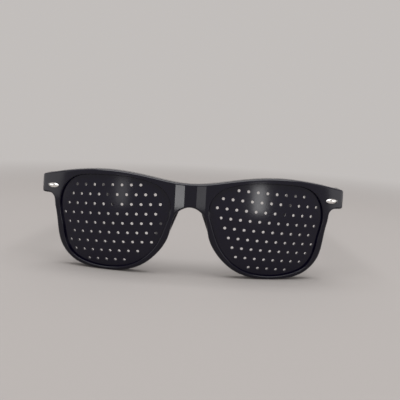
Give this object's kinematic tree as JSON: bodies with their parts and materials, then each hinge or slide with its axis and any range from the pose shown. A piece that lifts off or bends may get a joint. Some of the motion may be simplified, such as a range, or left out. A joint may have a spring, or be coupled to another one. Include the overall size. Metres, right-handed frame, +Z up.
{
  "type": "pinhole glasses",
  "caption": "Folding pinhole glasses: a curved black plastic front with two domed lens plates full of pinholes, on two hinged temples.",
  "frame": {"origin": "on the surface that the glasses stand on, below the middle of their box, with the temples open", "axes": "+X to the wearer's left, +Y from the front back to the ears, +Z up"},
  "size_m": [0.145, 0.1516, 0.048],
  "materials": {
    "black_frame_plastic": "gloss black moulded plastic",
    "black_lens_plastic": "smooth opaque black plastic sheet",
    "hinge_metal": "stamped steel hinge leaf",
    "screw_metal": "bright turned screw",
    "stud_metal": "bright oval stud"
  },
  "bodies": {
    "front": {"front_frame": "black_frame_plastic", "left_lens": "black_lens_plastic", "right_lens": "black_lens_plastic", "left_front_hinge": "hinge_metal", "right_front_hinge": "hinge_metal", "left_hinge_screw": "screw_metal", "right_hinge_screw": "screw_metal", "left_front_stud": "stud_metal", "right_front_stud": "stud_metal"},
    "left_temple_arm": {"left_temple": "black_frame_plastic", "left_temple_hinge": "hinge_metal"},
    "right_temple_arm": {"right_temple": "black_frame_plastic", "right_temple_hinge": "hinge_metal"}
  },
  "joints": [
    {"name": "left_temple_fold", "type": "hinge", "parent": "front", "child": "left_temple_arm", "pos_m": [0.0664, -0.05579, 0.039], "axis": [0, 0, 1], "range_deg": [0, 87]},
    {"name": "right_temple_fold", "type": "hinge", "parent": "front", "child": "right_temple_arm", "pos_m": [-0.0664, -0.05579, 0.039], "axis": [0, 0, -1], "range_deg": [0, 92.5]}
  ]
}
